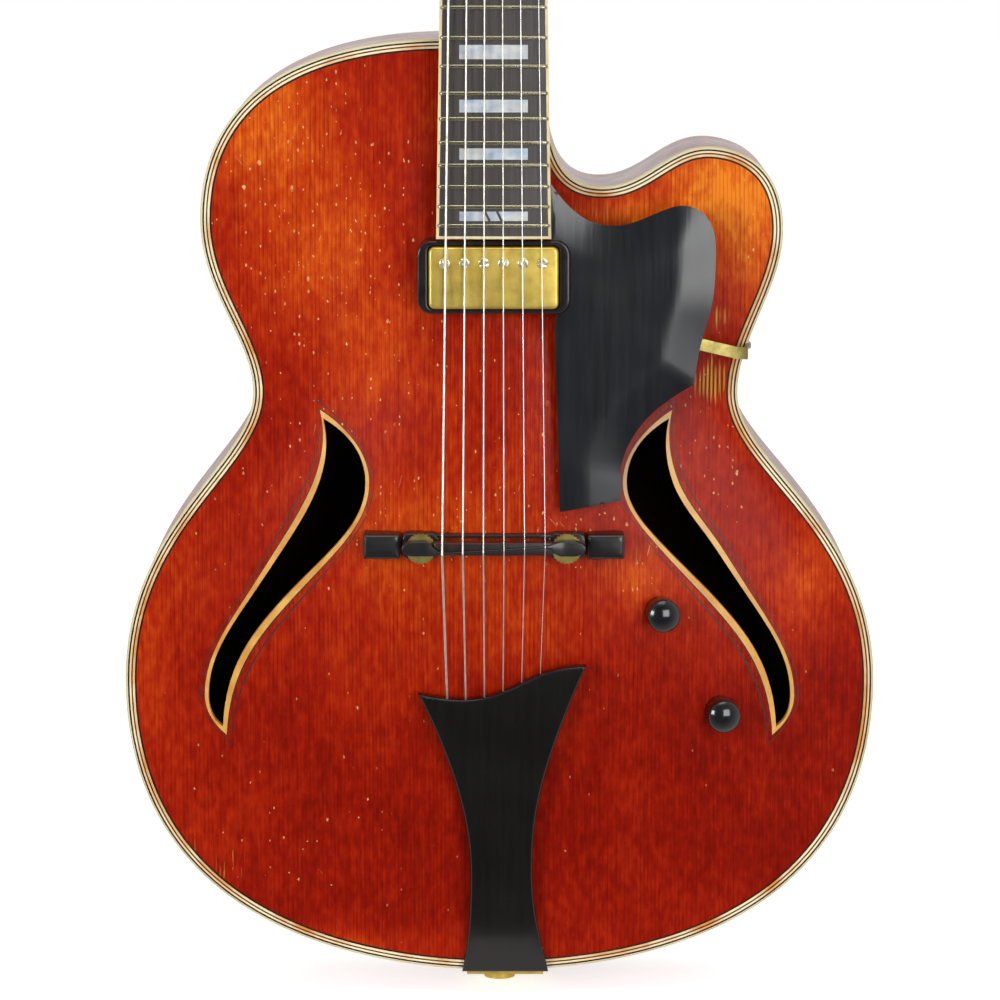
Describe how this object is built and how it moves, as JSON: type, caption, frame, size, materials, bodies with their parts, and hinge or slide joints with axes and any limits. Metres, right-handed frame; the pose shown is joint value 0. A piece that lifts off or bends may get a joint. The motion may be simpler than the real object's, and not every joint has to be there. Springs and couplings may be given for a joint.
{
  "type": "archtop guitar",
  "caption": "Hollow carved archtop guitar with one cutaway, f-holes, floating bridge, ebony tailpiece, neck pickup and geared tuners.",
  "frame": {"origin": "on the axis of the end-pin jack, at the outer face of the tail, half way through the rim", "axes": "+Z along the body towards the headstock, -Y out of the carved top, +X to the treble side"},
  "size_m": [0.381, 0.1352, 1.0341],
  "materials": {
    "varnished_spruce": "glossy red-orange varnish, worn",
    "varnished_maple": "glossy red-brown varnish on figured maple",
    "bare_spruce": "bare wood",
    "bare_mahogany": "bare wood",
    "cream_binding": "aged, polished, laminated in cream and black",
    "amber_binding": "aged, polished",
    "ebony": "polished ebony",
    "black_veneer": "polished black",
    "black_plastic": "moulded, polished",
    "nickel_silver": "polished, pale gold",
    "pearl": "mother of pearl, polished",
    "bone": "polished bone",
    "string_steel": "bright drawn wire",
    "steel": "plain",
    "brass": "aged brass",
    "gold_plate": "worn gold plating",
    "tuner_button": "black button on a gold shaft",
    "coil": "wound copper under tape",
    "wire": "plain sleeving"
  },
  "bodies": {
    "body_and_neck": {"back_binding": "cream_binding", "back_plate": "varnished_maple", "bridge_base": "ebony", "bridge_posts": "brass", "end_graft": "varnished_maple", "f_hole_bindings": "amber_binding", "fasteners": "brass", "fingerboard": "ebony", "fingerboard_binding": "cream_binding", "frets": "nickel_silver", "guard_bracket": "brass", "headstock_veneer": "black_veneer", "linings_and_bars": "bare_spruce", "neck": "varnished_maple", "neck_block": "bare_mahogany", "nut": "bone", "output_jack": "gold_plate", "pickguard": "ebony", "pickup_base_plate": "steel", "pickup_bobbins": "coil", "pickup_cover": "gold_plate", "pickup_magnet": "steel", "pickup_ring": "black_plastic", "plain_strings": "string_steel", "pole_screws": "gold_plate", "position_inlays": "pearl", "potentiometers": "steel", "rim_bass": "varnished_maple", "rim_treble": "varnished_maple", "soundboard": "varnished_spruce", "tail_block": "bare_mahogany", "tailpiece": "ebony", "tailpiece_bracket": "brass", "top_binding": "cream_binding", "top_purfling": "cream_binding", "truss_rod": "steel", "truss_rod_cover": "black_veneer", "tuner_bushings": "gold_plate", "tuner_housings": "gold_plate", "wiring": "wire", "wound_strings": "string_steel"},
    "tuner_key_6": {"tuner_key_6": "tuner_button"},
    "tuner_post_6": {"tuner_post_6": "gold_plate"},
    "tuner_key_5": {"tuner_key_5": "tuner_button"},
    "tuner_post_5": {"tuner_post_5": "gold_plate"},
    "tuner_key_4": {"tuner_key_4": "tuner_button"},
    "tuner_post_4": {"tuner_post_4": "gold_plate"},
    "tuner_key_3": {"tuner_key_3": "tuner_button"},
    "tuner_post_3": {"tuner_post_3": "gold_plate"},
    "tuner_key_2": {"tuner_key_2": "tuner_button"},
    "tuner_post_2": {"tuner_post_2": "gold_plate"},
    "tuner_key_1": {"tuner_key_1": "tuner_button"},
    "tuner_post_1": {"tuner_post_1": "gold_plate"},
    "volume_control": {"volume_knob": "black_plastic", "volume_shaft": "brass"},
    "tone_control": {"tone_knob": "black_plastic", "tone_shaft": "brass"},
    "saddle": {"bridge_saddle": "ebony"},
    "thumbwheel_bass": {"thumbwheel_bass": "brass"},
    "thumbwheel_treble": {"thumbwheel_treble": "brass"}
  },
  "joints": [
    {"name": "tuner_key_6_turn", "type": "hinge", "parent": "body_and_neck", "child": "tuner_key_6", "pos_m": [-0.0279, -0.00191, 0.90546], "axis": [1, 0, 0], "continuous": true},
    {"name": "tuner_post_6_turn", "type": "hinge", "parent": "body_and_neck", "child": "tuner_post_6", "pos_m": [-0.0279, -0.02292, 0.90407], "axis": [0, -0.9588, 0.284], "continuous": true},
    {"name": "tuner_key_5_turn", "type": "hinge", "parent": "body_and_neck", "child": "tuner_key_5", "pos_m": [-0.0279, 0.01002, 0.94573], "axis": [1, 0, 0], "continuous": true},
    {"name": "tuner_post_5_turn", "type": "hinge", "parent": "body_and_neck", "child": "tuner_post_5", "pos_m": [-0.0279, -0.01099, 0.94434], "axis": [0, -0.9588, 0.284], "continuous": true},
    {"name": "tuner_key_4_turn", "type": "hinge", "parent": "body_and_neck", "child": "tuner_key_4", "pos_m": [-0.0279, 0.02195, 0.98601], "axis": [1, 0, 0], "continuous": true},
    {"name": "tuner_post_4_turn", "type": "hinge", "parent": "body_and_neck", "child": "tuner_post_4", "pos_m": [-0.0279, 0.00094, 0.98462], "axis": [0, -0.9588, 0.284], "continuous": true},
    {"name": "tuner_key_3_turn", "type": "hinge", "parent": "body_and_neck", "child": "tuner_key_3", "pos_m": [0.0221, 0.02195, 0.98601], "axis": [1, 0, 0], "continuous": true},
    {"name": "tuner_post_3_turn", "type": "hinge", "parent": "body_and_neck", "child": "tuner_post_3", "pos_m": [0.0221, 0.00094, 0.98462], "axis": [0, -0.9588, 0.284], "continuous": true},
    {"name": "tuner_key_2_turn", "type": "hinge", "parent": "body_and_neck", "child": "tuner_key_2", "pos_m": [0.0221, 0.01002, 0.94573], "axis": [1, 0, 0], "continuous": true},
    {"name": "tuner_post_2_turn", "type": "hinge", "parent": "body_and_neck", "child": "tuner_post_2", "pos_m": [0.0221, -0.01099, 0.94434], "axis": [0, -0.9588, 0.284], "continuous": true},
    {"name": "tuner_key_1_turn", "type": "hinge", "parent": "body_and_neck", "child": "tuner_key_1", "pos_m": [0.0221, -0.00191, 0.90546], "axis": [1, 0, 0], "continuous": true},
    {"name": "tuner_post_1_turn", "type": "hinge", "parent": "body_and_neck", "child": "tuner_post_1", "pos_m": [0.0221, -0.02292, 0.90407], "axis": [0, -0.9588, 0.284], "continuous": true},
    {"name": "volume_turn", "type": "hinge", "parent": "body_and_neck", "child": "volume_control", "pos_m": [0.081, -0.04874, 0.18945], "axis": [0.1467, -0.9892, 0.0022], "range_deg": [-140, 140]},
    {"name": "tone_turn", "type": "hinge", "parent": "body_and_neck", "child": "tone_control", "pos_m": [0.1123, -0.04317, 0.13716], "axis": [0.1207, -0.9918, -0.0414], "range_deg": [-140, 140]},
    {"name": "saddle_lift", "type": "slide", "parent": "body_and_neck", "child": "saddle", "axis": [0, -1, 0], "range_m": [-0.0012, 0.0024], "deforming": ["wound_strings", "plain_strings"]},
    {"name": "thumbwheel_bass_turn", "type": "hinge", "parent": "saddle", "child": "thumbwheel_bass", "pos_m": [-0.0394, -0.06749, 0.2254], "axis": [0, -1, 0], "range_deg": [-617.1, 1234.3]},
    {"name": "thumbwheel_treble_turn", "type": "hinge", "parent": "saddle", "child": "thumbwheel_treble", "pos_m": [0.0336, -0.06749, 0.2254], "axis": [0, -1, 0], "range_deg": [-617.1, 1234.3]}
  ],
  "couplings": [
    {"joint": "tuner_post_6_turn", "follows": "tuner_key_6_turn", "ratio": -0.071429},
    {"joint": "tuner_post_5_turn", "follows": "tuner_key_5_turn", "ratio": -0.071429},
    {"joint": "tuner_post_4_turn", "follows": "tuner_key_4_turn", "ratio": -0.071429},
    {"joint": "tuner_post_3_turn", "follows": "tuner_key_3_turn", "ratio": 0.071429},
    {"joint": "tuner_post_2_turn", "follows": "tuner_key_2_turn", "ratio": 0.071429},
    {"joint": "tuner_post_1_turn", "follows": "tuner_key_1_turn", "ratio": 0.071429},
    {"joint": "saddle_lift", "follows": "thumbwheel_bass_turn", "m_per_rad": 0.00011141},
    {"joint": "thumbwheel_treble_turn", "follows": "thumbwheel_bass_turn", "ratio": 1}
  ]
}
